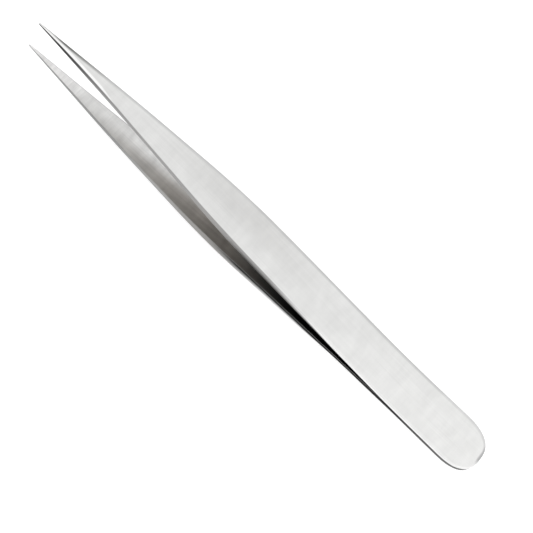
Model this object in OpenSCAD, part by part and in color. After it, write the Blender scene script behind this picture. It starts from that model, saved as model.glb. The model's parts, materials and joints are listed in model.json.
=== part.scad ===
// Pointed tweezers: two forged steel arms, ground to fine points and welded face to face
// at a round heel. They lie on the back of the lower arm, as they rest on a bench.
// +X runs towards the heel, Y across the blades and +Z up. z = 0 is the bench.

/* [Outline] */
// Length of each arm, from the round end of the heel to the point
arm_length = 120; // [112:1:135]
// Width of the blade at the heel
heel_width = 10.6; // [8:0.1:12]
// How full the round of the heel is: 2 is a half circle, and more squares it off
heel_fullness = 2.3; // [2:0.1:3]
// Width of the blade at the shoulder, where it starts to taper
shoulder_width = 9.2; // [8:0.1:12]
// Width of the point
point_width = 0.3; // [0.2:0.05:0.8]
// Length of the taper, from the middle of the shoulder to the point
taper_length = 51; // [46:0.5:60]
// Length over which the corner of the shoulder is eased
shoulder_ease = 24; // [8:1:26]

/* [Thickness] */
// Thickness of each arm at the heel
heel_thickness = 1.05; // [0.8:0.05:1.4]
// Thickness of each arm at the grip
grip_thickness = 1.9; // [1.4:0.05:2.2]
// Thickness of each arm where the grinding of the point starts
blade_thickness = 1.1; // [0.7:0.05:1.3]
// Thickness of the point
point_thickness = 0.3; // [0.2:0.05:0.6]
// Distance from the heel to where the arm starts to thicken
thin_length = 26; // [20:1:34]
// Distance from the heel to the thickest place
grip_distance = 62; // [54:1:66]
// Length from the point over which the arm is ground thin
grind_length = 31; // [24:1:36]

/* [Spring] */
// Length of the flat heel, where the arms are welded together
weld_length = 13; // [10:1:16]
// Length of the bend that spreads each arm
spread_length = 18; // [12:1:24]
// Distance from the point to where the arms start to bend back
return_distance = 50; // [42:1:54]
// Length of the bend that turns the arms parallel again
return_length = 41; // [26:1:46]
// Clear gap between the two points at rest
point_gap = 9.3; // [7:0.1:12]
// Angle at which each point leans back in, in degrees
point_lean = 0.8; // [0:0.1:1.5]

/* [Edges] */
// Radius of the long outer edges
edge_radius = 0.35; // [0.2:0.05:0.5]
// Chamfer of the inner edges, which leaves a fine groove round the welded heel
seam_break = 0.26; // [0.1:0.02:0.34]

/* [Hidden] */

// Steps of the outline: round heel, long side and round point
heel_steps = 14;
side_steps = 64;
point_steps = 3;
// Steps round an outer edge
edge_steps = 3;
// Most of the local half width, and of the local thickness, that an edge may take
edge_width_share = 0.4;
edge_depth_share = 0.45;
seam_share = 0.3;

heel_r = heel_width / 2;
heel_bend = 2 / heel_fullness;
point_r = point_width / 2;
shoulder_distance = arm_length - taper_length;

// Smooth step from 0 to 1
function ease(x) = let (c = min(max(x, 0), 1)) c * c * (3 - 2 * c);
// Distance gained by a slope that eases in from 0 to 1 between a and b
function eased_run(d, a, b) =
    let (w = b - a, c = min(max((d - a) / w, 0), 1))
    w * (c ^ 3 - c ^ 4 / 2) + max(d - b, 0);

// Half width of the blade at a distance d from the heel
shoulder_start = shoulder_distance - shoulder_ease / 2;
shoulder_end = shoulder_distance + shoulder_ease / 2;
taper_slope = (shoulder_width - point_width) / taper_length;
function straight_width(d) =
    heel_width + (shoulder_width - heel_width) * min(max((d - heel_r) / (shoulder_distance - heel_r), 0), 1);
function half_width(d) =
    max((straight_width(d) - taper_slope * eased_run(d, shoulder_start, shoulder_end)) / 2, point_r);

// Thickness of an arm at a distance d from the heel
grind_start = arm_length - grind_length;
function thickness(d) =
    heel_thickness
    + (grip_thickness - heel_thickness) * ease((d - thin_length) / (grip_distance - thin_length))
    - (grip_thickness - blade_thickness) * ease((d - grip_distance) / (grind_start - grip_distance))
    - (blade_thickness - point_thickness) * (max(d - grind_start, 0) / grind_length) ^ 2;

// Height of an arm's centreline above the middle plane: it springs away from the welded
// heel, runs out straight and bends back until the points lean in a little
spread_end = weld_length + spread_length;
return_start = arm_length - return_distance;
return_end = return_start + return_length;
lean_slope = tan(point_lean);
function spread_run(d) = eased_run(d, weld_length, spread_end);
function return_run(d) = eased_run(d, return_start, return_end);
point_rise = (point_gap + point_thickness - heel_thickness) / 2;
spread_slope = (point_rise + lean_slope * return_run(arm_length))
    / (spread_run(arm_length) - return_run(arm_length));
function centreline(d) =
    heel_thickness / 2 + spread_slope * spread_run(d) - (spread_slope + lean_slope) * return_run(d);
function inner_height(d) = centreline(d) - thickness(d) / 2;
function outer_height(d) = centreline(d) + thickness(d) / 2;

// Sizes of the edges, which shrink with the blade towards the point
function outer_edge(d) =
    min(edge_radius, edge_width_share * half_width(d), edge_depth_share * thickness(d));
function inner_edge(d) = min(seam_break, seam_share * half_width(d), seam_share * thickness(d));

// One side of the outline, from the middle of the heel to the point. Each entry holds a
// place and the outward direction there.
side_start = heel_r;
side_end = arm_length - point_r;
heel_arc = [
    for (i = [0 : heel_steps - 1])
        let (
            a = 90 * i / heel_steps,
            outward = [-(cos(a) ^ (2 - heel_bend)), sin(a) ^ (2 - heel_bend)]
        )
        [[heel_r - heel_r * cos(a) ^ heel_bend, heel_r * sin(a) ^ heel_bend], outward / norm(outward)]
];
long_side = [
    for (i = [0 : side_steps])
        let (
            d = side_start + (side_end - side_start) * i / side_steps,
            probe = 0.01,
            turn = atan((half_width(d + probe) - half_width(d - probe)) / (2 * probe))
        )
        [[d, half_width(d)], [-sin(turn), cos(turn)]]
];
point_arc = [
    for (i = [1 : point_steps])
        let (a = 90 * i / point_steps)
        [[side_end + point_r * sin(a), point_r * cos(a)], [sin(a), cos(a)]]
];
side = concat(heel_arc, long_side, point_arc);
last = len(side) - 1;

// One ring of the blade: the outline, moved in by an inset, at a height on the section.
// Level 0 is the inner face, level 1 the foot of the side and the rest go round the outer edge.
function ring_point(entry, level) =
    let (
        d = entry[0][0],
        a = 90 * (level - 2) / edge_steps,
        inset = level == 0 ? inner_edge(d) : level == 1 ? 0 : outer_edge(d) * (1 - cos(a)),
        x = d - entry[1][0] * inset,
        y = entry[0][1] - entry[1][1] * inset,
        z = level == 0 ? inner_height(x)
            : level == 1 ? inner_height(x) + inner_edge(d)
            : outer_height(x) - outer_edge(d) * (1 - sin(a))
    )
    [x, y, z];
function ring(level) = concat(
    [for (i = [0 : last]) ring_point(side[i], level)],
    [for (i = [last - 1 : -1 : 1]) let (p = ring_point(side[i], level)) [p[0], -p[1], p[2]]]
);

// A forged and ground blade, with its inner face towards the middle plane z = 0
levels = edge_steps + 3;
ring_size = 2 * last;
module blade() {
    points = [for (level = [0 : levels - 1]) each ring(level)];
    top = (levels - 1) * ring_size;
    walls = [
        for (level = [0 : levels - 2], i = [0 : ring_size - 1])
            let (j = (i + 1) % ring_size, low = level * ring_size, high = low + ring_size)
            [low + i, low + j, high + j, high + i]
    ];
    inner_face = [
        for (i = [1 : last - 2])
            [i, ring_size - i, ring_size - i - 1, i + 1]
    ];
    outer_face = [
        for (i = [1 : last - 2])
            [top + i, top + i + 1, top + ring_size - i - 1, top + ring_size - i]
    ];
    ends = [
        [0, ring_size - 1, 1],
        [last, last - 1, last + 1],
        [top, top + 1, top + ring_size - 1],
        [top + last, top + last + 1, top + last - 1]
    ];
    polyhedron(points, concat(walls, inner_face, outer_face, ends), convexity = 4);
}

// At rest the lower arm touches the bench with the end of its heel and with its belly
rest_tilt = max([
    for (entry = long_side)
        if (entry[0][0] > weld_length)
            atan((outer_height(entry[0][0]) - heel_thickness) / (entry[0][0] - edge_radius))
]);
heel_z = heel_thickness * cos(rest_tilt) - edge_radius * sin(rest_tilt);
point_reach = outer_height(arm_length) - outer_edge(arm_length);
heel_reach = heel_thickness - edge_radius;
heel_x = (arm_length * cos(rest_tilt) + (point_reach - heel_reach) * sin(rest_tilt)) / 2;
module lay_down()
    translate([heel_x, 0, heel_z])
    rotate([0, rest_tilt, 0])
    rotate([0, 0, 180])
    children();

module upper_arm()
    color("silver")
    lay_down()
    blade();

module lower_arm()
    color("silver")
    lay_down()
    rotate([180, 0, 0])
    blade();

upper_arm();
lower_arm();
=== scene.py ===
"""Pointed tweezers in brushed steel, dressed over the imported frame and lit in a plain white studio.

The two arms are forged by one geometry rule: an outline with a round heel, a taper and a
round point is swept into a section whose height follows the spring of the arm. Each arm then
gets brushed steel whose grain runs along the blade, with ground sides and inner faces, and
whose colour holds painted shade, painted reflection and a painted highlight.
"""
import json
import logging
import math
from dataclasses import dataclass, field, fields
from enum import Enum
from typing import Union

import bpy
from mathutils import Matrix, Vector


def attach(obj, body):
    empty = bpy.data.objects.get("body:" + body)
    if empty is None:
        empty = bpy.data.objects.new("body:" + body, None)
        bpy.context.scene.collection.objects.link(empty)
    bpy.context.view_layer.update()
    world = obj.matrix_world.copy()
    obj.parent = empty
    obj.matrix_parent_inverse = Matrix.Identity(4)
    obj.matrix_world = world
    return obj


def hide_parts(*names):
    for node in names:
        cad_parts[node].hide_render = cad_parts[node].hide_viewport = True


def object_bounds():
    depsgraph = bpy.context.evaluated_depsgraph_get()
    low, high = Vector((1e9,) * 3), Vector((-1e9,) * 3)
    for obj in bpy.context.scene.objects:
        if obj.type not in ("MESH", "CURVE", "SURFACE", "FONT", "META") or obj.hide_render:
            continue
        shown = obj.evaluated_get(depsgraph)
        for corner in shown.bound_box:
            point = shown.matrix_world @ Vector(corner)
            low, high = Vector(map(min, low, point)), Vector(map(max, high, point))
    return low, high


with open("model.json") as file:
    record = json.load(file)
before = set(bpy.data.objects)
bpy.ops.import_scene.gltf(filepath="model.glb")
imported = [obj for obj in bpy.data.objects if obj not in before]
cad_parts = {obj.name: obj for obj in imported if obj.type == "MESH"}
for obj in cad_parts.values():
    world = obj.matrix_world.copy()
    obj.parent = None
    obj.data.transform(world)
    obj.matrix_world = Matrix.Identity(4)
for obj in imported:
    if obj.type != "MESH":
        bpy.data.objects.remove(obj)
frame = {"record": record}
cad_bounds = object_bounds()
log = logging.getLogger("tweezers")

MM = 0.001
BODY = "root"

Colour = tuple[float, float, float]
Tree = bpy.types.NodeTree
Socket = bpy.types.NodeSocket
Flow = Union["Term", Socket, float, str, Colour]


class SocketKind(Enum):
    """The kinds of value that pass into and out of a node group."""

    NUMBER = "NodeSocketFloat"
    COLOUR = "NodeSocketColor"
    GEOMETRY = "NodeSocketGeometry"
    MATERIAL = "NodeSocketMaterial"

    @classmethod
    def of(cls, value: float | Colour) -> "SocketKind":
        """Returns the kind of a plain value."""
        return cls.COLOUR if isinstance(value, tuple) else cls.NUMBER


def feed(tree: Tree, socket: Socket, value: Flow) -> None:
    """Links a value that flows through the tree to an input, or sets a plain value on the input.

    Args:
        tree: the node tree that the input belongs to.
        socket: the input.
        value: a term, an output socket or a plain value.
    """
    if isinstance(value, Term):
        tree.links.new(value.socket, socket)
    elif isinstance(value, Socket):
        tree.links.new(value, socket)
    elif isinstance(value, tuple):
        socket.default_value = (*value, 1.0)
    else:
        socket.default_value = value


def add_node(tree: Tree, kind: str, values: dict[str | int, Flow], **settings: object) -> bpy.types.Node:
    """Adds a node to a tree.

    Args:
        tree: the tree.
        kind: the node's type.
        values: what each input gets.
        settings: the node's own settings, which are made first.

    Returns:
        The node.
    """
    node = tree.nodes.new(kind)
    for name, setting in settings.items():
        setattr(node, name, setting)
    for label, value in values.items():
        feed(tree, node.inputs[label], value)
    return node


def vector(tree: Tree, x: "Term", y: "Term", z: "Term") -> Socket:
    """Joins three numbers in one vector."""
    return add_node(tree, "ShaderNodeCombineXYZ", {"X": x, "Y": y, "Z": z}).outputs[0]


class Term:
    """A number that flows through a node tree, so that a shape or a mask reads as a formula."""

    def __init__(self, tree: Tree, socket: Socket) -> None:
        """Holds the socket that gives the number.

        Args:
            tree: the node tree that the number belongs to.
            socket: the output socket that gives it.
        """
        self.tree = tree
        self.socket = socket

    def math(self, operation: str, *others: "Term | float", clamp: bool = False) -> "Term":
        """Feeds the number into a Math node.

        Args:
            operation: the Math node's operation.
            others: the node's further inputs, as terms or plain numbers.
            clamp: whether the result is kept between 0 and 1.

        Returns:
            The node's result.
        """
        values = dict(enumerate((self, *others)))
        node = add_node(self.tree, "ShaderNodeMath", values, operation=operation, use_clamp=clamp)
        return Term(self.tree, node.outputs[0])

    def __add__(self, other: "Term | float") -> "Term":
        """Returns the sum."""
        return self.math("ADD", other)

    __radd__ = __add__

    def __sub__(self, other: "Term | float") -> "Term":
        """Returns the difference."""
        return self.math("SUBTRACT", other)

    def __rsub__(self, other: float) -> "Term":
        """Returns a plain number less this one."""
        return self.math("MULTIPLY_ADD", -1.0, other)

    def __mul__(self, other: "Term | float") -> "Term":
        """Returns the product."""
        return self.math("MULTIPLY", other)

    __rmul__ = __mul__

    def __truediv__(self, other: "Term | float") -> "Term":
        """Returns the quotient."""
        return self.math("DIVIDE", other)

    def __rtruediv__(self, other: float) -> "Term":
        """Returns a plain number divided by this one."""
        return self.math("POWER", -1.0) * other

    def __pow__(self, other: "Term | float") -> "Term":
        """Returns the number raised to a power."""
        return self.math("POWER", other)

    def __abs__(self) -> "Term":
        """Returns the number without its sign."""
        return self.math("ABSOLUTE")

    def at_least(self, other: "Term | float") -> "Term":
        """Returns the larger of the two numbers."""
        return self.math("MAXIMUM", other)

    def at_most(self, other: "Term | float") -> "Term":
        """Returns the smaller of the two numbers."""
        return self.math("MINIMUM", other)

    def held(self) -> "Term":
        """Returns the number kept between 0 and 1."""
        return self.math("ADD", 0.0, clamp=True)

    def eased(self) -> "Term":
        """Returns a smooth step from 0 to 1."""
        step = self.held()
        return step * step * (3.0 - 2.0 * step)

    def quarter_sine(self) -> "Term":
        """Returns the sine of a quarter turn times the number."""
        return (self * (math.pi / 2)).math("SINE")

    def quarter_cosine(self) -> "Term":
        """Returns the cosine of a quarter turn times the number."""
        return (self * (math.pi / 2)).math("COSINE")


def share_between(place: Term, start: Term | float, end: Term | float) -> Term:
    """Returns how far a place is on the way from a start to an end: 0 at one and 1 at the other."""
    return (place - start) / (end - start)


def new_group(
    name: str,
    kind: str,
    inputs: dict[str, float | Colour | SocketKind],
    outputs: dict[str, SocketKind],
) -> Tree:
    """Makes a node group.

    Args:
        name: the group's name.
        kind: the type of the tree.
        inputs: each input's name, with its value when nothing feeds it or else only its kind.
        outputs: each output's name and kind.

    Returns:
        The group, with its two end nodes in place.
    """
    tree = bpy.data.node_groups.new(name, kind)
    for label, value in inputs.items():
        plain = not isinstance(value, SocketKind)
        takes = SocketKind.of(value) if plain else value
        socket = tree.interface.new_socket(label, in_out="INPUT", socket_type=takes.value)
        if plain:
            feed(tree, socket, value)
    for label, gives in outputs.items():
        tree.interface.new_socket(label, in_out="OUTPUT", socket_type=gives.value)
    tree.nodes.new("NodeGroupInput")
    tree.nodes.new("NodeGroupOutput")
    return tree


def group_input(tree: Tree, label: str) -> Socket:
    """Returns the socket that gives one of a group's own inputs."""
    return tree.nodes["Group Input"].outputs[label]


def group_term(tree: Tree, label: str) -> Term:
    """Returns one of a group's own inputs as a term."""
    return Term(tree, group_input(tree, label))


def give(tree: Tree, label: str, value: Term | Socket) -> None:
    """Feeds a value to one of a group's own outputs."""
    feed(tree, tree.nodes["Group Output"].inputs[label], value)


def use_group(tree: Tree, group: Tree, values: dict[str, Flow]) -> bpy.types.Node:
    """Places a node group in a tree and feeds its inputs."""
    return add_node(tree, tree.bl_idname.replace("Tree", "Group"), values, node_tree=group)


def seen_rays(tree: Tree) -> Term:
    """Picks out the rays that show a background: from the camera, off metal and through glass.

    Args:
        tree: the node tree of the surface or the world.

    Returns:
        1 for those rays and 0 for all others.
    """
    path = tree.nodes.new("ShaderNodeLightPath")
    seen = Term(tree, path.outputs["Is Camera Ray"])
    for label in ("Is Glossy Ray", "Is Transmission Ray"):
        seen = seen.at_least(Term(tree, path.outputs[label]))
    return seen


def new_object(name: str, data: bpy.types.ID) -> bpy.types.Object:
    """Makes an object and links it to the scene.

    Args:
        name: the object's name.
        data: its mesh, lamp or camera data.

    Returns:
        The object.
    """
    thing = bpy.data.objects.new(name, data)
    bpy.context.scene.collection.objects.link(thing)
    return thing


class Arm(Enum):
    """The two arms, named by the CAD node that each stands for. The value turns the blade over."""

    UPPER = 1.0
    LOWER = -1.0

    @property
    def node(self) -> str:
        """The arm's CAD node."""
        return f"{self.name.lower()}_arm"

    @property
    def piece(self) -> str:
        """The name of the visible piece."""
        return f"{self.name.lower()}_blade"


@dataclass(frozen=True)
class BladeSizes:
    """Sizes of one arm, in millimetres and degrees.

    They are the CAD part's own, apart from the round of the heel, which is drawn longer and
    fuller here than on the solid.
    """

    arm_length: float = 120.0
    heel_width: float = 10.6
    heel_fullness: float = 2.7
    heel_round: float = 8.0
    shoulder_width: float = 9.2
    point_width: float = 0.3
    taper_length: float = 51.0
    shoulder_ease: float = 24.0
    heel_thickness: float = 1.05
    grip_thickness: float = 1.9
    blade_thickness: float = 1.1
    point_thickness: float = 0.3
    thin_length: float = 26.0
    grip_distance: float = 62.0
    grind_length: float = 31.0
    weld_length: float = 13.0
    spread_length: float = 18.0
    return_distance: float = 50.0
    return_length: float = 41.0
    point_gap: float = 9.3
    point_lean: float = 0.8
    edge_radius: float = 0.35
    seam_break: float = 0.26


@dataclass(frozen=True)
class Outline:
    """Half of the blade's outline: the place of each step, and the direction outwards there."""

    distance: Term
    across: Term
    outward_x: Term
    outward_y: Term
    half_width: Term
    thickness: Term


@dataclass(frozen=True)
class Skin:
    """The blade's skin: places before it is laid on the bench, in millimetres."""

    distance: Term
    across: Term
    height: Term
    rise: Term
    rim: Term


class BladeRule:
    """The rule that shapes an arm, as a geometry tree with the sizes as its inputs.

    The section has five bands, each one unit wide: inner face, inner edge, side, outer edge
    and outer face.
    """

    STEPS = {"heel_steps": 40.0, "side_steps": 300.0, "point_steps": 8.0, "section_steps": 6.0}
    PLACE = {"side": 1.0, "heel_x": 0.0, "heel_z": 0.0, "tilt": 0.0}
    SECTION = ("half_width", "inner_height", "thickness")
    BANDS = 5.0
    SEAM_SHARE = 0.3
    EDGE_WIDTH_SHARE = 0.4
    EDGE_DEPTH_SHARE = 0.45
    MERGE_DISTANCE = 0.0005 * MM

    def __init__(self, sizes: BladeSizes) -> None:
        """Makes the empty tree, with its inputs, and the group for the section.

        Args:
            sizes: sizes of one arm, whose names become the tree's inputs.
        """
        self.sizes = {item.name: getattr(sizes, item.name) for item in fields(sizes)}
        self.section = self.section_group()
        numbers = {**self.sizes, **self.STEPS, **self.PLACE}
        inputs = {"Geometry": SocketKind.GEOMETRY, **numbers, "material": SocketKind.MATERIAL}
        self.tree = new_group("forged_blade", "GeometryNodeTree", inputs, {"Geometry": SocketKind.GEOMETRY})
        self.terms = {label: group_term(self.tree, label) for label in numbers}

    def eased_run_group(self) -> Tree:
        """Builds the distance gained by a slope that eases in from 0 to 1.

        Returns:
            The group.
        """
        inputs = {"distance": 0.0, "start": 0.0, "end": 1.0}
        tree = new_group("eased_run", "GeometryNodeTree", inputs, {"run": SocketKind.NUMBER})
        distance, start, end = (group_term(tree, label) for label in inputs)
        share = share_between(distance, start, end).held()
        eased = (end - start) * (share * share * share * (1.0 - share * 0.5))
        give(tree, "run", eased + (distance - end).at_least(0.0))
        return tree

    def section_group(self) -> Tree:
        """Builds the blade's half width, inner height and thickness at a distance from the heel.

        Returns:
            The group.
        """
        eased_run = self.eased_run_group()
        inputs = {"distance": 0.0, **self.sizes}
        outputs = {label: SocketKind.NUMBER for label in self.SECTION}
        tree = new_group("blade_section", "GeometryNodeTree", inputs, outputs)

        def size(label: str) -> Term:
            """Returns one of the sizes as a term."""
            return group_term(tree, label)

        def run(distance: Term, start: Term, end: Term) -> Term:
            """Returns the distance gained by a slope that eases in between two places."""
            node = use_group(tree, eased_run, {"distance": distance, "start": start, "end": end})
            return Term(tree, node.outputs["run"])

        distance = size("distance")
        length = size("arm_length")
        heel_r = size("heel_width") * 0.5
        shoulder = length - size("taper_length")
        ease_half = size("shoulder_ease") * 0.5
        slope = (size("shoulder_width") - size("point_width")) / size("taper_length")
        waist = share_between(distance, heel_r, shoulder).held()
        straight = size("heel_width") + (size("shoulder_width") - size("heel_width")) * waist
        taper = slope * run(distance, shoulder - ease_half, shoulder + ease_half)
        half_width = ((straight - taper) * 0.5).at_least(size("point_width") * 0.5)

        grind_start = length - size("grind_length")
        forged = share_between(distance, size("thin_length"), size("grip_distance")).eased()
        drawn = share_between(distance, size("grip_distance"), grind_start).eased()
        ground = (distance - grind_start).at_least(0.0) / size("grind_length")
        thickness = (
            size("heel_thickness")
            + (size("grip_thickness") - size("heel_thickness")) * forged
            - (size("grip_thickness") - size("blade_thickness")) * drawn
            - (size("blade_thickness") - size("point_thickness")) * ground * ground
        )

        spread_end = size("weld_length") + size("spread_length")
        back_start = length - size("return_distance")
        back_end = back_start + size("return_length")
        lean = (size("point_lean") * (math.pi / 180)).math("TANGENT")
        full_spread = run(length, size("weld_length"), spread_end)
        full_back = run(length, back_start, back_end)
        point_rise = (size("point_gap") + size("point_thickness") - size("heel_thickness")) * 0.5
        spread_slope = (point_rise + lean * full_back) / (full_spread - full_back)
        centre = (
            size("heel_thickness") * 0.5
            + spread_slope * run(distance, size("weld_length"), spread_end)
            - (spread_slope + lean) * run(distance, back_start, back_end)
        )
        give(tree, "half_width", half_width)
        give(tree, "inner_height", centre - thickness * 0.5)
        give(tree, "thickness", thickness)
        return tree

    def section_at(self, distance: Term) -> dict[str, Term]:
        """Works out the section at a distance from the heel.

        Args:
            distance: the distance, in millimetres.

        Returns:
            The half width, the inner height and the thickness there.
        """
        sizes = {label: self.terms[label] for label in self.sizes}
        node = use_group(self.tree, self.section, {"distance": distance, **sizes})
        return {label: Term(self.tree, node.outputs[label]) for label in self.SECTION}

    def grid(self) -> tuple[Socket, Term, Term]:
        """Makes the flat grid that becomes the blade.

        Returns:
            The grid, the step along the outline and the band of the section at each point.
        """
        tree, terms = self.tree, self.terms
        outline_steps = terms["heel_steps"] + terms["side_steps"] + terms["point_steps"]
        around_steps = terms["section_steps"] * self.BANDS
        mesh = add_node(tree, "GeometryNodeMeshGrid", {
            "Size X": outline_steps,
            "Size Y": around_steps,
            "Vertices X": outline_steps + 1.0,
            "Vertices Y": around_steps + 1.0,
        })
        where = tree.nodes.new("GeometryNodeInputPosition")
        split = add_node(tree, "ShaderNodeSeparateXYZ", {0: where.outputs[0]})
        along = Term(tree, split.outputs["X"]) + outline_steps * 0.5
        around = (Term(tree, split.outputs["Y"]) + around_steps * 0.5) / terms["section_steps"]
        return mesh.outputs["Mesh"], along, around

    def outline(self, along: Term) -> Outline:
        """Follows half of the outline: round heel, long side and round point.

        Args:
            along: the step along the outline.

        Returns:
            The outline.
        """
        terms = self.terms
        past_heel = along - terms["heel_steps"]
        past_side = past_heel - terms["side_steps"]
        heel_share = (along / terms["heel_steps"]).held()
        side_share = (past_heel / terms["side_steps"]).held()
        point_share = (past_side / terms["point_steps"]).held()
        heel_round = terms["heel_round"]
        point_r = terms["point_width"] * 0.5
        bend = 2.0 / terms["heel_fullness"]
        heel_sine = heel_share.quarter_sine()
        heel_cosine = heel_share.quarter_cosine().at_least(0.0)
        distance = (
            heel_round * (1.0 - heel_cosine ** bend)
            + (terms["arm_length"] - heel_round - point_r) * side_share
            + point_r * point_share.quarter_sine()
        )
        section = self.section_at(distance)
        across = section["half_width"] * heel_sine ** bend * point_share.quarter_cosine()
        heel_out_x = heel_cosine ** (2.0 - bend) * (terms["heel_width"] * 0.5) / heel_round
        heel_out_y = heel_sine ** (2.0 - bend)
        heel_out = (heel_out_x * heel_out_x + heel_out_y * heel_out_y).math("SQRT")
        return Outline(
            distance=distance,
            across=across,
            outward_x=point_share.quarter_sine() - heel_out_x / heel_out,
            outward_y=heel_out_y / heel_out * point_share.quarter_cosine(),
            half_width=section["half_width"],
            thickness=section["thickness"],
        )

    def skin(self, outline: Outline, around: Term) -> Skin:
        """Carries the outline round the section: inner face, inner edge, side, outer edge, outer face.

        Args:
            outline: half of the outline.
            around: the band of the section.

        Returns:
            The skin of half a blade.
        """
        terms = self.terms
        half_width, thickness = outline.half_width, outline.thickness
        seam = terms["seam_break"].at_most(half_width * self.SEAM_SHARE)
        seam = seam.at_most(thickness * self.SEAM_SHARE)
        edge = terms["edge_radius"].at_most(half_width * self.EDGE_WIDTH_SHARE)
        edge = edge.at_most(thickness * self.EDGE_DEPTH_SHARE)
        inner_face = 1.0 - around.held()
        inner_edge = (around - 1.0).held()
        side_wall = (around - 2.0).eased()
        outer_edge = (around - 3.0).held()
        outer_face = (around - 4.0).held()
        inset = seam * (1.0 - inner_edge.quarter_sine()) + edge * (1.0 - outer_edge.quarter_cosine())
        lateral = 1.0 - inner_face * inner_face * inner_face
        lateral = lateral * (1.0 - outer_face * outer_face * outer_face)
        distance = outline.distance - outline.outward_x * inset
        across = (outline.across - outline.outward_y * inset) * lateral
        section = self.section_at(distance)
        rise = (
            seam * (1.0 - inner_edge.quarter_cosine())
            + (section["thickness"] - seam - edge) * side_wall
            + edge * outer_edge.quarter_sine()
        )
        rim = (outline.across - across).at_most(distance).at_most(terms["arm_length"] - distance)
        return Skin(distance, across, section["inner_height"] + rise, rise, rim)

    def marked(self, mesh: Socket, skin: Skin, around: Term) -> Socket:
        """Stores what the finish reads: the place on the blade, the band and the depth from the rim.

        Args:
            mesh: the grid.
            skin: the skin of half a blade.
            around: the band of the section.

        Returns:
            The marked grid.
        """
        place = vector(self.tree, skin.distance * MM, skin.across * MM, skin.rise * MM)
        for label, kind, value in (
            ("blade_place", "FLOAT_VECTOR", place),
            ("blade_zone", "FLOAT", around),
            ("blade_rim", "FLOAT", skin.rim * MM),
        ):
            values = {"Geometry": mesh, "Name": label, "Value": value}
            settings = {"data_type": kind, "domain": "POINT"}
            store = add_node(self.tree, "GeometryNodeStoreNamedAttribute", values, **settings)
            mesh = store.outputs["Geometry"]
        return mesh

    def laid_down(self, mesh: Socket, skin: Skin) -> Socket:
        """Bends the grid to the skin and lays it on the bench, with the heel towards +X.

        Args:
            mesh: the marked grid.
            skin: the skin of half a blade.

        Returns:
            Half a blade, in its place in the frame.
        """
        terms = self.terms
        sine, cosine = terms["tilt"].math("SINE"), terms["tilt"].math("COSINE")
        up = skin.height * terms["side"]
        x = terms["heel_x"] + (up * sine - skin.distance * cosine) * MM
        z = terms["heel_z"] + (up * cosine + skin.distance * sine) * MM
        place = vector(self.tree, x, skin.across * MM, z)
        forge = add_node(self.tree, "GeometryNodeSetPosition", {"Geometry": mesh, "Position": place})
        return forge.outputs["Geometry"]

    def whole(self, half: Socket) -> Socket:
        """Adds the mirror image of half a blade and turns all faces outwards.

        Args:
            half: half a blade.

        Returns:
            The whole blade, smooth and closed.
        """
        tree = self.tree
        mirror = add_node(tree, "GeometryNodeTransform", {"Geometry": half})
        mirror.inputs["Scale"].default_value = (1.0, -1.0, 1.0)
        turn_back = add_node(tree, "GeometryNodeFlipFaces", {"Mesh": mirror.outputs["Geometry"]})
        join = add_node(tree, "GeometryNodeJoinGeometry", {0: half})
        feed(tree, join.inputs[0], turn_back.outputs["Mesh"])
        merge = add_node(tree, "GeometryNodeMergeByDistance", {
            "Geometry": join.outputs[0],
            "Distance": self.MERGE_DISTANCE,
        })
        upper = add_node(tree, "FunctionNodeCompare", {0: self.terms["side"]}, operation="GREATER_THAN")
        outwards = add_node(tree, "GeometryNodeFlipFaces", {
            "Mesh": merge.outputs["Geometry"],
            "Selection": upper.outputs[0],
        })
        smooth = add_node(tree, "GeometryNodeSetShadeSmooth", {"Geometry": outwards.outputs["Mesh"]})
        return smooth.outputs["Geometry"]

    def build(self) -> Tree:
        """Builds the whole blade in the tree.

        Returns:
            The geometry tree. Its inputs are the sizes in millimetres, the numbers of steps, the
            place of the heel in the frame, the rest tilt and the side that turns the blade over.
        """
        tree = self.tree
        mesh, along, around = self.grid()
        skin = self.skin(self.outline(along), around)
        blade = self.whole(self.laid_down(self.marked(mesh, skin, around), skin))
        real = add_node(tree, "GeometryNodeRealizeInstances", {"Geometry": blade})
        dress = add_node(tree, "GeometryNodeSetMaterial", {
            "Geometry": real.outputs["Geometry"],
            "Material": group_input(tree, "material"),
        })
        give(tree, "Geometry", dress.outputs["Geometry"])
        return tree


@dataclass
class HeelSeat:
    """Where the welded heel sits in the frame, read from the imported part."""

    sizes: BladeSizes
    tilt: float = field(init=False)
    heel_x: float = field(init=False)
    heel_z: float = field(init=False)

    def __post_init__(self) -> None:
        """Works the place out from the heel's mount and the part's box."""
        mount = next(m for m in frame["record"]["mounts"] if m["name"] == "heel_top")
        normal = Vector(mount["axis"]).normalized()
        self.tilt = math.atan2(normal.x, normal.z)
        half_heel = (self.sizes.heel_thickness - self.sizes.edge_radius) * MM
        self.heel_x = cad_bounds[1][0] - half_heel * normal.x
        plane = normal.dot(Vector(mount["pos_m"])) - self.sizes.heel_thickness * MM
        self.heel_z = (plane - normal.x * self.heel_x) / normal.z


@dataclass(frozen=True)
class Stretch:
    """A stretch over which a tone or a mask changes, in millimetres. It may run either way.

    Along the blade it is counted from the heel, across it from the middle towards the far
    side, and in depth from the rim.
    """

    start: float
    end: float

    def share(self, place: Term) -> Term:
        """Returns how far on the stretch a place in metres is: 0 at the start and 1 at the end."""
        return share_between(place, self.start * MM, self.end * MM)


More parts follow.
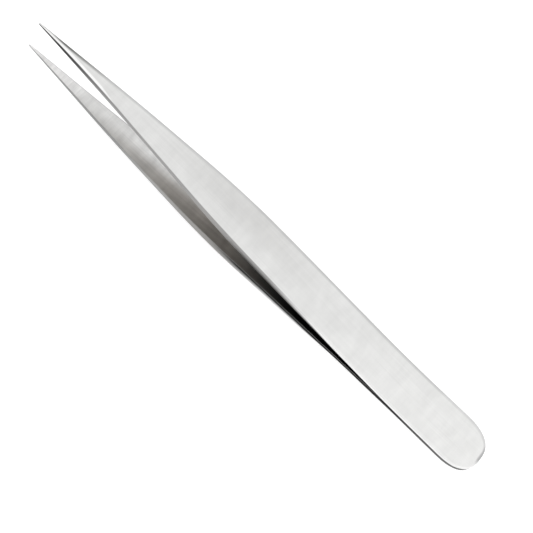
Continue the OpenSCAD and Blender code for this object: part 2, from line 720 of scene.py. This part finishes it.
@dataclass(frozen=True)
class SideFinishAndShade:
    """Tones of the ground side of one arm: at the grip, along the blade, at the point and at the heel,
    where the dark point and the light heel are painted shade and painted reflection.
    """

    grip: Colour
    blade: Colour
    point: Colour
    heel: Colour
    to_blade: Stretch
    to_point: Stretch
    to_heel: Stretch
    # further reach of the groove's painted shade on this arm
    seam_extra: float

    def inputs(self) -> dict[str, float | Colour]:
        """Lists the values that the shared tones take from these side tones and their painted shade.

        Returns:
            Each input's name and value, with places in metres.
        """
        values: dict[str, float | Colour] = {}
        for item in fields(self):
            value = getattr(self, item.name)
            if isinstance(value, Stretch):
                values[f"{item.name}_start"] = value.start * MM
                values[f"{item.name}_end"] = value.end * MM
            else:
                values[item.name] = value
        return values


@dataclass(frozen=True)
class ZoneFinish:
    """Where the surface and its painted shade change round the section, counted in its bands, and how
    sharply.
    """

    face_from: float = 3.4
    face_sharpness: float = 3.3
    point_shift: float = 0.4
    shift_stretch: Stretch = Stretch(90.0, 106.0)
    inside_to: float = 1.3
    inside_sharpness: float = 4.0
    rim_from: float = 2.8
    rim_sharpness: float = 3.0


@dataclass(frozen=True)
class SeamShade:
    """The painted shade in the groove between the arms: its tones, and how far it reaches round the
    section.
    """

    # painted shade: black in the groove, lighter towards the heel's end
    tone: Colour = (0.01, 0.01, 0.01)
    heel_tone: Colour = (0.13, 0.13, 0.13)
    heel_stretch: Stretch = Stretch(24.0, 2.0)
    reach: float = 2.32
    sharpness: float = 4.0
    extra_stretch: Stretch = Stretch(34.0, 24.0)
    open_stretch: Stretch = Stretch(34.0, 46.0)
    open_reach: float = 0.55
    open_softness: float = 2.7
    corner_reach: float = 0.4
    corner_along: Stretch = Stretch(3.4, 1.6)
    corner_across: Stretch = Stretch(-0.5, -2.0)
    end: Stretch = Stretch(60.0, 70.0)


@dataclass(frozen=True)
class FarEdgeShade:
    """The far rim of the outer face, which turns away from the light: the tones of its painted shade, its
    depth and ends.
    """

    # painted shade along the far rim, darkest by the point
    tone: Colour = (0.56, 0.56, 0.555)
    point_tone: Colour = (0.16, 0.16, 0.155)
    round_tone: Colour = (0.66, 0.66, 0.655)
    heel_tone: Colour = (0.44, 0.44, 0.44)
    point_stretch: Stretch = Stretch(99.0, 115.0)
    round_stretch: Stretch = Stretch(20.0, 9.0)
    heel_stretch: Stretch = Stretch(1.2, 0.3)
    depth: Stretch = Stretch(0.95, 0.35)
    end: Stretch = Stretch(114.0, 118.0)
    softness: float = 0.3
    heel_end: Stretch = Stretch(4.0, 0.0)
    heel_end_shift: float = 1.9
    heel_end_softness: float = 1.2


@dataclass(frozen=True)
class FaceLightAndShade:
    """Tones of the broad outer face: painted light at the heel, painted shade over the grip, and a painted
    highlight beside the point that stands in for a crown.
    """

    # painted light at the heel, painted shade over the grip, painted highlight beside the point
    heel: Colour = (0.80, 0.80, 0.79)
    blade: Colour = (0.75, 0.75, 0.742)
    grip: Colour = (0.655, 0.653, 0.645)
    crown: Colour = (0.98, 0.98, 0.975)
    heel_stretch: Stretch = Stretch(12.0, 42.0)
    grip_middle: float = 67.0
    grip_length: float = 28.0
    grip_across: Stretch = Stretch(-3.5, 1.5)
    crown_stretch: Stretch = Stretch(96.0, 104.0)
    crown_across: Stretch = Stretch(0.1, -0.1)
    crown_depth: float = 1.0
    crown_softness: float = 0.3


@dataclass(frozen=True)
class InsideFinishAndShade:
    """Tones of the inner face, with painted shade towards the weld and on the side that looks away from the
    light, and painted light at the point.
    """

    # painted shade between the arms towards the weld
    weld: Colour = (0.010, 0.010, 0.010)
    near_grip: Colour = (0.37, 0.352, 0.332)
    near_point: Colour = (0.62, 0.618, 0.61)
    far_grip: Colour = (0.45, 0.435, 0.415)
    far_point: Colour = (0.71, 0.708, 0.70)
    point: Colour = (0.77, 0.765, 0.76)
    weld_stretch: Stretch = Stretch(44.0, 66.0)
    near_stretch: Stretch = Stretch(78.0, 107.0)
    far_stretch: Stretch = Stretch(68.0, 88.0)
    point_stretch: Stretch = Stretch(104.0, 112.0)
    near_to_far: Stretch = Stretch(-1.7, 0.9)


@dataclass(frozen=True)
class GrainFinish:
    """Brush lines and mottle: sizes in millimetres, and how strongly each one shows."""

    line_length: float = 16.0
    line_width: float = 0.16
    cross_length: float = 7.0
    cross_width: float = 0.3
    cross_on_face: float = 0.3
    ground_stretch: Stretch = Stretch(86.0, 112.0)
    strength: float = 0.36
    inside_strength: float = 0.40
    mottle: float = 0.14
    patches: float = 0.18
    inside_patches: float = 0.36
    roughness: float = 0.34
    roughness_change: float = 0.22
    inside_roughness: float = 0.06
    bump_strength: float = 0.25
    bump_depth: float = 0.01
    seed: float = 3.0
    arm_seed: float = 7.0
    cross_seed: float = 3.0


@dataclass(frozen=True)
class SteelFinishAndShade:
    """Tones and gloss of the brushed steel of both arms, with painted shade, painted reflection and painted
    highlights in the tones. All lengths are in millimetres.
    """

    name: str = "brushed_steel"
    zones: ZoneFinish = ZoneFinish()
    face: FaceLightAndShade = FaceLightAndShade()
    far_edge: FarEdgeShade = FarEdgeShade()
    inside: InsideFinishAndShade = InsideFinishAndShade()
    seam: SeamShade = SeamShade()
    grain: GrainFinish = GrainFinish()
    # side tones darker than the face; dark at the point and light at the heel: painted shade and painted
    # reflection
    upper_side: SideFinishAndShade = SideFinishAndShade(
        grip=(0.30, 0.295, 0.288),
        blade=(0.29, 0.288, 0.285),
        point=(0.05, 0.05, 0.05),
        heel=(0.80, 0.80, 0.795),
        to_blade=Stretch(70.0, 80.0),
        to_point=Stretch(99.0, 113.0),
        to_heel=Stretch(57.0, 39.0),
        seam_extra=0.0,
    )
    lower_side: SideFinishAndShade = SideFinishAndShade(
        grip=(0.31, 0.302, 0.292),
        blade=(0.36, 0.357, 0.35),
        point=(0.28, 0.278, 0.275),
        heel=(0.88, 0.88, 0.875),
        to_blade=Stretch(68.0, 84.0),
        to_point=Stretch(84.0, 96.0),
        to_heel=Stretch(68.0, 49.0),
        seam_extra=0.5,
    )

    def side(self, arm: Arm) -> SideFinishAndShade:
        """Returns the side tones, with their painted shade and painted reflection, of one arm."""
        return self.upper_side if arm is Arm.UPPER else self.lower_side


class BrushGrain:
    """Brush lines, as a shader group: fine and coarse streaks that run along one direction."""

    COARSE_LENGTH = 1.7
    COARSE_WIDTH = 4.0
    FINE_SHARE = 0.62
    MOTTLE_LENGTH = 0.7
    MOTTLE_WIDTH = 0.35
    NOISE_ROUGHNESS = 0.6

    class Layer(Enum):
        """The layers of noise: how far each lies from the first, and its detail."""

        FINE = (0.0, 3.0)
        COARSE = (17.3, 2.0)
        MOTTLE = (41.9, 2.0)

    def __init__(self) -> None:
        """Builds the group.

        It takes a place along and across the grain, in metres, with the length and the width of
        the lines, and gives a streak value round 0.5 and a slow mottle.
        """
        inputs = {"along": 0.0, "across": 0.0, "line_length": 0.02, "line_width": 0.0002, "seed": 0.0}
        outputs = {"streak": SocketKind.NUMBER, "mottle": SocketKind.NUMBER}
        self.tree = new_group("brush_grain", "ShaderNodeTree", inputs, outputs)
        length = group_term(self.tree, "line_length")
        width = group_term(self.tree, "line_width")
        fine = self.lines(self.Layer.FINE, length, width)
        coarse = self.lines(self.Layer.COARSE, length * self.COARSE_LENGTH, width * self.COARSE_WIDTH)
        mottle = self.lines(self.Layer.MOTTLE, length * self.MOTTLE_LENGTH, length * self.MOTTLE_WIDTH)
        give(self.tree, "streak", fine * self.FINE_SHARE + coarse * (1.0 - self.FINE_SHARE))
        give(self.tree, "mottle", mottle)

    def lines(self, layer: Layer, length: Term, width: Term) -> Term:
        """Makes one layer of stretched noise.

        Args:
            layer: which layer.
            length: how long its lines are.
            width: how wide they are.

        Returns:
            The noise.
        """
        tree = self.tree
        offset, detail = layer.value
        along, across = group_term(tree, "along") / length, group_term(tree, "across") / width
        noise = add_node(tree, "ShaderNodeTexNoise", {
            "Vector": vector(tree, along, across, group_term(tree, "seed") + offset),
            "Scale": 1.0,
            "Detail": detail,
            "Roughness": self.NOISE_ROUGHNESS,
        })
        return Term(tree, noise.outputs[0])


class SteelTonesAndShade:
    """The steel's tones and zones, with their painted shade and highlights, as a shader group that each arm
    uses with its own side tones.
    """

    PLACES = ("along", "across", "zone", "rim")
    MASKS = ("inner", "side", "ground")

    def __init__(self, finish: SteelFinishAndShade) -> None:
        """Builds the group.

        It takes a place on the blade, in metres, the band of the section and the tones of the
        arm's side. It gives the tone, and masks of the inner face, the side and the ground lines.

        Args:
            finish: the steel's grain, gloss, tones and painted shade.
        """
        self.finish = finish
        inputs = {**{label: 0.0 for label in self.PLACES}, **finish.upper_side.inputs()}
        outputs = {"tone": SocketKind.COLOUR, **{label: SocketKind.NUMBER for label in self.MASKS}}
        self.tree = new_group("steel_tones", "ShaderNodeTree", inputs, outputs)
        self.along, self.across, self.zone, self.rim = (
            group_term(self.tree, label) for label in self.PLACES
        )
        zones = finish.zones
        shift = self.over(zones.shift_stretch) * zones.point_shift
        outer = ((self.zone - zones.face_from - shift) * zones.face_sharpness).held()
        self.inner = ((zones.inside_to - self.zone) * zones.inside_sharpness).held()
        side = (1.0 - outer - self.inner).held()
        ground = self.inner * self.over(finish.grain.ground_stretch)
        tone = self.mix(self.inner, self.face_tone(), self.inside_tone())
        tone = self.mix(side, tone, self.side_tone())
        give(self.tree, "tone", self.mix(self.far_rim(), tone, self.far_edge_tone()))
        give(self.tree, "inner", self.inner)
        give(self.tree, "side", side)
        give(self.tree, "ground", ground.at_least(outer * finish.grain.cross_on_face))

    def over(self, stretch: Stretch) -> Term:
        """Returns a smooth step over a stretch of the blade."""
        return stretch.share(self.along).eased()

    def mix(self, factor: Term, first: Colour | Socket, second: Colour | Socket) -> Socket:
        """Mixes two colours.

        Args:
            factor: the share of the second colour.
            first: the first colour, or the socket that gives it.
            second: the second colour, or the socket that gives it.

        Returns:
            The socket of the mixed colour.
        """
        node = add_node(self.tree, "ShaderNodeMix", {"Factor": factor}, data_type="RGBA")
        for label, colour in (("A", first), ("B", second)):
            socket = next(s for s in node.inputs if s.name == label and s.type == "RGBA")
            feed(self.tree, socket, colour)
        return next(s for s in node.outputs if s.type == "RGBA")

    def seam(self) -> Term:
        """Masks the painted shade of the groove between the arms, which widens at the heel's near corner
        and where the arms part.

        Returns:
            The mask.
        """
        seam = self.finish.seam
        opened = self.over(seam.open_stretch)
        extra = group_term(self.tree, "seam_extra") * self.over(seam.extra_stretch)
        corner = self.over(seam.corner_along) * seam.corner_across.share(self.across).held()
        reach = seam.reach + extra + opened * seam.open_reach + corner * seam.corner_reach
        groove = ((reach - self.zone) * (seam.sharpness - opened * seam.open_softness)).held()
        return groove * (1.0 - self.inner) * (1.0 - self.over(seam.end))

    def side_tone(self) -> Socket:
        """Gives the tone of the ground side, with painted shade and painted reflection along it and the
        groove's painted shade in it.

        Returns:
            The socket of the tone.
        """
        tone = group_input(self.tree, "grip")
        for label in ("blade", "point", "heel"):
            start = group_term(self.tree, f"to_{label}_start")
            end = group_term(self.tree, f"to_{label}_end")
            step = share_between(self.along, start, end).eased()
            tone = self.mix(step, tone, group_input(self.tree, label))
        seam = self.finish.seam
        groove = self.mix(self.over(seam.heel_stretch), seam.tone, seam.heel_tone)
        return self.mix(self.seam(), tone, groove)

    def inside_tone(self) -> Socket:
        """Gives the tone of the inner face, with painted shade towards the weld and on the near side and
        painted light at the point.

        Returns:
            The socket of the tone.
        """
        inside = self.finish.inside
        near = self.mix(self.over(inside.near_stretch), inside.near_grip, inside.near_point)
        far = self.mix(self.over(inside.far_stretch), inside.far_grip, inside.far_point)
        tone = self.mix(inside.near_to_far.share(self.across).eased(), near, far)
        tone = self.mix(self.over(inside.weld_stretch), inside.weld, tone)
        return self.mix(self.over(inside.point_stretch), tone, inside.point)

    def face_tone(self) -> Socket:
        """Gives the tone of the outer face, with painted light at the heel, painted shade over the grip and
        the painted highlight beside the point.

        Returns:
            The socket of the tone.
        """
        face = self.finish.face
        grip = 1.0 - (abs(self.along - face.grip_middle * MM) / (face.grip_length * MM)).eased()
        grip = grip * face.grip_across.share(self.across).eased()
        # painted highlight beside the point, in place of a crowned face
        depth = face.crown_depth * MM * self.over(face.crown_stretch)
        crown = face.crown_across.share(self.across).held()
        crown = crown * ((depth - self.rim) / (face.crown_softness * MM)).eased()
        tone = self.mix(self.over(face.heel_stretch), face.heel, face.blade)
        tone = self.mix(grip, tone, face.grip)
        return self.mix(crown, tone, face.crown)

    def far_rim(self) -> Term:
        """Masks the painted shade on the far rim of the outer face, which goes round the heel's end.

        Returns:
            The mask.
        """
        edge, zones = self.finish.far_edge, self.finish.zones
        heel_end = edge.heel_end.share(self.along).held()
        width = (heel_end * edge.heel_end_softness + edge.softness) * MM
        far = ((self.across + heel_end * (edge.heel_end_shift * MM)) / width).held()
        above = ((self.zone - zones.rim_from) * zones.rim_sharpness).held()
        return far * above * edge.depth.share(self.rim).eased() * (1.0 - self.over(edge.end))

    def far_edge_tone(self) -> Socket:
        """Gives the tone of the painted shade on the far rim.

        Returns:
            The socket of the tone.
        """
        edge = self.finish.far_edge
        tone = self.mix(self.over(edge.point_stretch), edge.tone, edge.point_tone)
        tone = self.mix(self.over(edge.round_stretch), tone, edge.round_tone)
        return self.mix(self.over(edge.heel_stretch), tone, edge.heel_tone)


class SteelShop:
    """Makes the steel of each arm from the shared tones, with their painted shade, and the shared grain."""

    def __init__(self, finish: SteelFinishAndShade) -> None:
        """Builds the shared groups once.

        Args:
            finish: the steel's grain, gloss, tones and painted shade.
        """
        self.finish = finish
        self.tones = SteelTonesAndShade(finish).tree
        self.grain = BrushGrain().tree

    @staticmethod
    def blade_place(tree: Tree) -> dict[str, Term]:
        """Reads the place on the blade from its attributes and from the object.

        Args:
            tree: the material's node tree.

        Returns:
            The places along and across, the height, the band of the section and the depth from
            the rim.
        """
        sources = {}
        for label, output in (("blade_place", "Vector"), ("blade_zone", "Fac"), ("blade_rim", "Fac")):
            node = add_node(tree, "ShaderNodeAttribute", {}, attribute_name=label)
            sources[label] = node.outputs[output]
        in_object = tree.nodes.new("ShaderNodeTexCoord").outputs["Object"]
        on_blade = add_node(tree, "ShaderNodeSeparateXYZ", {0: sources["blade_place"]})
        in_frame = add_node(tree, "ShaderNodeSeparateXYZ", {0: in_object})
        return {
            "along": Term(tree, on_blade.outputs["X"]),
            "across": Term(tree, in_frame.outputs["Y"]),
            "height": Term(tree, on_blade.outputs["Z"]),
            "zone": Term(tree, sources["blade_zone"]),
            "rim": Term(tree, sources["blade_rim"]),
        }

    def material(self, arm: Arm) -> bpy.types.Material:
        """Makes the steel of one arm.

        Args:
            arm: the arm that wears it.

        Returns:
            The material.
        """
        grain = self.finish.grain
        material = bpy.data.materials.new(f"{self.finish.name}_{arm.name.lower()}")
        material.use_nodes = True
        tree = material.node_tree
        place = self.blade_place(tree)
        places = {label: place[label] for label in SteelTonesAndShade.PLACES}
        tones = use_group(tree, self.tones, {**places, **self.finish.side(arm).inputs()})
        inner, side, ground = (Term(tree, tones.outputs[label]) for label in SteelTonesAndShade.MASKS)
        seed = grain.seed + grain.arm_seed * arm.value
        brushed = use_group(tree, self.grain, {
            "along": place["along"],
            "across": place["across"] * (1.0 - side) + place["height"] * side,
            "line_length": grain.line_length * MM,
            "line_width": grain.line_width * MM,
            "seed": seed,
        })
        crossed = use_group(tree, self.grain, {
            "along": place["across"],
            "across": place["along"],
            "line_length": grain.cross_length * MM,
            "line_width": grain.cross_width * MM,
            "seed": seed + grain.cross_seed,
        })
        streak = Term(tree, brushed.outputs["streak"]) * (1.0 - ground)
        streak = streak + Term(tree, crossed.outputs["streak"]) * ground - 0.5
        mottle = Term(tree, brushed.outputs["mottle"]) - 0.5
        patches = Term(tree, crossed.outputs["mottle"]) - 0.5
        value = 1.0 + streak * (grain.strength + inner * grain.inside_strength)
        value = value + mottle * grain.mottle + patches * (grain.patches + inner * grain.inside_patches)
        shaded = {0: tones.outputs["tone"], "Scale": value}
        shade = add_node(tree, "ShaderNodeVectorMath", shaded, operation="SCALE")
        bump = add_node(tree, "ShaderNodeBump", {
            "Strength": grain.bump_strength,
            "Distance": grain.bump_depth * MM,
            "Height": streak,
        })
        rough = grain.roughness + streak * grain.roughness_change + inner * grain.inside_roughness
        shader = tree.nodes["Principled BSDF"]
        feed(tree, shader.inputs["Metallic"], 1.0)
        feed(tree, shader.inputs["Base Color"], shade.outputs[0])
        feed(tree, shader.inputs["Roughness"], rough)
        feed(tree, shader.inputs["Normal"], bump.outputs["Normal"])
        return material


class Tweezers:
    """The two welded arms."""

    def __init__(self, sizes: BladeSizes, finish: SteelFinishAndShade) -> None:
        """Works out the seat of the heel, and builds the rule and the shared steel with its painted shade.

        Args:
            sizes: sizes of one arm.
            finish: the steel's grain, gloss, tones and painted shade.
        """
        self.seat = HeelSeat(sizes)
        self.rule = BladeRule(sizes).build()
        self.shop = SteelShop(finish)

    def forge(self, arm: Arm) -> None:
        """Makes one arm from the rule, as a plain mesh in the place of its CAD node.

        Args:
            arm: which of the two arms.
        """
        holder = new_object("blank", bpy.data.meshes.new("blank"))
        modifier = holder.modifiers.new("forge", "NODES")
        modifier.node_group = self.rule
        values = {
            "side": arm.value,
            "heel_x": self.seat.heel_x,
            "heel_z": self.seat.heel_z,
            "tilt": self.seat.tilt,
            "material": self.shop.material(arm),
        }
        sockets = {s.name: s.identifier for s in self.rule.interface.items_tree if s.in_out == "INPUT"}
        for label, value in values.items():
            modifier[sockets[label]] = value
        bpy.context.view_layer.update()
        evaluated = holder.evaluated_get(bpy.context.evaluated_depsgraph_get())
        mesh = bpy.data.meshes.new_from_object(evaluated)
        bpy.data.objects.remove(holder)
        mesh.name = arm.piece
        blade = new_object(arm.piece, mesh)
        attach(blade, BODY)
        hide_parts(arm.node)
        log.info("%s: %d faces", arm.piece, len(mesh.polygons))

    def build(self) -> None:
        """Makes both arms."""
        for arm in Arm:
            self.forge(arm)


@dataclass
class Studio:
    """A white bench under soft light, with the camera of the photograph.

    Angles are in degrees, the camera's distance and aim in millimetres, and the bench and the
    lamp in metres.
    """

    azimuth: float = -0.318
    elevation: float = 63.55
    roll: float = 42.802
    distance: float = 303.1
    lens: float = 105.06
    aim: tuple[float, float, float] = (3.54, -1.225, 3.55)
    clip_start: float = 0.01
    bench_size: float = 3.0
    bench_colour: Colour = (0.85, 0.85, 0.85)
    bench_glow: float = 0.46
    sky_level: float = 0.95
    lamp_size: float = 1.3
    lamp_power: float = 0.9
    lamp_place: tuple[float, float, float] = (0.75, -0.2, 0.75)

    def camera(self) -> None:
        """Places the camera by its azimuth, elevation and roll."""
        azimuth, elevation = math.radians(self.azimuth), math.radians(self.elevation)
        towards = Vector((
            math.sin(azimuth) * math.cos(elevation),
            -math.cos(azimuth) * math.cos(elevation),
            math.sin(elevation),
        ))
        data = bpy.data.cameras.new("camera")
        data.lens = self.lens
        data.clip_start = self.clip_start
        data.dof.use_dof = False
        camera = new_object("camera", data)
        turn = towards.to_track_quat("Z", "Y").to_matrix().to_4x4()
        turn = turn @ Matrix.Rotation(math.radians(self.roll), 4, "Z")
        camera.matrix_world = Matrix.Translation((Vector(self.aim) + towards * self.distance) * MM) @ turn
        bpy.context.scene.camera = camera

    def paper(self) -> bpy.types.Material:
        """Makes the bench's white paper. It glows a little where it is seen, so that it stays white.

        Returns:
            The material.
        """
        material = bpy.data.materials.new("white_paper")
        material.use_nodes = True
        tree = material.node_tree
        tree.nodes.clear()
        sheet = add_node(tree, "ShaderNodeBsdfDiffuse", {"Color": self.bench_colour})
        glow = add_node(tree, "ShaderNodeEmission", {"Strength": seen_rays(tree) * self.bench_glow})
        both = add_node(tree, "ShaderNodeAddShader", {0: sheet.outputs[0], 1: glow.outputs[0]})
        add_node(tree, "ShaderNodeOutputMaterial", {"Surface": both.outputs[0]})
        return material

    def bench(self) -> None:
        """Lays the white bench."""
        half = self.bench_size / 2
        corners = [(-half, -half, 0.0), (half, -half, 0.0), (half, half, 0.0), (-half, half, 0.0)]
        mesh = bpy.data.meshes.new("bench")
        mesh.from_pydata(corners, [], [(0, 1, 2, 3)])
        mesh.materials.append(self.paper())
        new_object("bench", mesh)

    def world(self) -> None:
        """Wraps the bench in a white studio whose light on dull surfaces is a little softer."""
        world = bpy.data.worlds.new("studio")
        world.use_nodes = True
        tree = world.node_tree
        seen = seen_rays(tree)
        background = tree.nodes["Background"]
        feed(tree, background.inputs["Color"], (1.0, 1.0, 1.0))
        feed(tree, background.inputs["Strength"], seen + (1.0 - seen) * self.sky_level)
        bpy.context.scene.world = world

    def lamp(self) -> None:
        """Hangs one large soft lamp over the bench."""
        data = bpy.data.lights.new("overhead", "AREA")
        data.size = self.lamp_size
        data.energy = self.lamp_power
        lamp = new_object("overhead", data)
        lamp.location = Vector(self.lamp_place)
        lamp.rotation_euler = lamp.location.to_track_quat("Z", "Y").to_euler()

    def build(self) -> None:
        """Sets up the camera, the bench, the light and the plain colour view."""
        self.camera()
        self.bench()
        self.world()
        self.lamp()
        bpy.context.scene.view_settings.view_transform = "Standard"
        log.info("studio: camera at %.0f mm", self.distance)


def main() -> None:
    """Builds the studio and the tweezers."""
    logging.basicConfig(level=logging.INFO, format="%(name)s: %(message)s")
    Studio().build()
    Tweezers(BladeSizes(), SteelFinishAndShade()).build()


if __name__ == "__main__":
    main()
